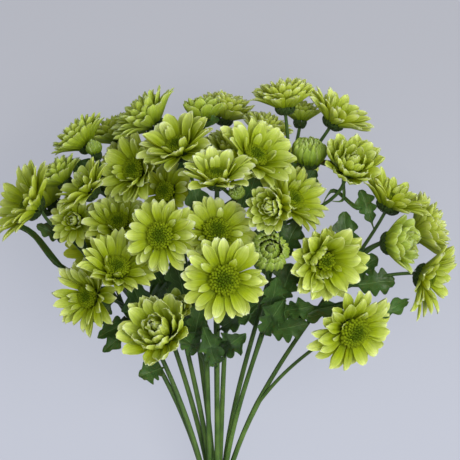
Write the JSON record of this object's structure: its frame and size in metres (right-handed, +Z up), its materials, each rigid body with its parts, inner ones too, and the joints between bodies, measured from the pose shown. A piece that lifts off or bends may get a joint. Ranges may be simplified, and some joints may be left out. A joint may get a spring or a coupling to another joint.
{
  "type": "bunch of spray chrysanthemums",
  "caption": "Loose round bunch of lime-green daisy-shaped spray chrysanthemums on leafy stems, held by an elastic band and lying on its back.",
  "frame": {"origin": "middle of the bunch's outline, on the surface that it lies on", "axes": "+Y along the bunch from the cut ends to the blooms, +X across it, +Z up from the surface"},
  "size_m": [0.3112, 0.385, 0.1756],
  "materials": {
    "petals": "soft satin petals, lime green and paler towards the tips",
    "greenery": "ribbed mid-green stems and matt dark green leaves, greyer underneath",
    "band": "plain tan elastic"
  },
  "bodies": {
    "root": {"elastic_band": "band", "spray_01_bloom_1": "petals", "spray_01_bloom_2": "petals", "spray_01_bloom_3": "petals", "spray_01_bloom_4": "petals", "spray_01_stem": "greenery", "spray_02_bloom_1": "petals", "spray_02_bloom_2": "petals", "spray_02_bloom_3": "petals", "spray_02_bloom_4": "petals", "spray_02_stem": "greenery", "spray_03_bloom_1": "petals", "spray_03_bloom_2": "petals", "spray_03_bloom_3": "petals", "spray_03_stem": "greenery", "spray_04_bloom_1": "petals", "spray_04_bloom_2": "petals", "spray_04_bloom_3": "petals", "spray_04_bloom_4": "petals", "spray_04_stem": "greenery", "spray_05_bloom_1": "petals", "spray_05_bloom_2": "petals", "spray_05_bloom_3": "petals", "spray_05_bloom_4": "petals", "spray_05_stem": "greenery", "spray_06_bloom_1": "petals", "spray_06_bloom_2": "petals", "spray_06_bloom_3": "petals", "spray_06_bloom_4": "petals", "spray_06_stem": "greenery", "spray_07_bloom_1": "petals", "spray_07_bloom_2": "petals", "spray_07_bloom_3": "petals", "spray_07_bloom_4": "petals", "spray_07_stem": "greenery", "spray_08_bloom_1": "petals", "spray_08_bloom_2": "petals", "spray_08_bloom_3": "petals", "spray_08_stem": "greenery", "spray_09_bloom_1": "petals", "spray_09_bloom_2": "petals", "spray_09_bloom_3": "petals", "spray_09_bloom_4": "petals", "spray_09_stem": "greenery", "spray_10_bloom_1": "petals", "spray_10_bloom_2": "petals", "spray_10_bloom_3": "petals", "spray_10_bloom_4": "petals", "spray_10_stem": "greenery", "spray_11_bloom_1": "petals", "spray_11_bloom_2": "petals", "spray_11_bloom_3": "petals", "spray_11_bloom_4": "petals", "spray_11_bloom_5": "petals", "spray_11_stem": "greenery", "spray_12_bloom_1": "petals", "spray_12_bloom_2": "petals", "spray_12_bloom_3": "petals", "spray_12_bloom_4": "petals", "spray_12_stem": "greenery"}
  },
  "joints": []
}
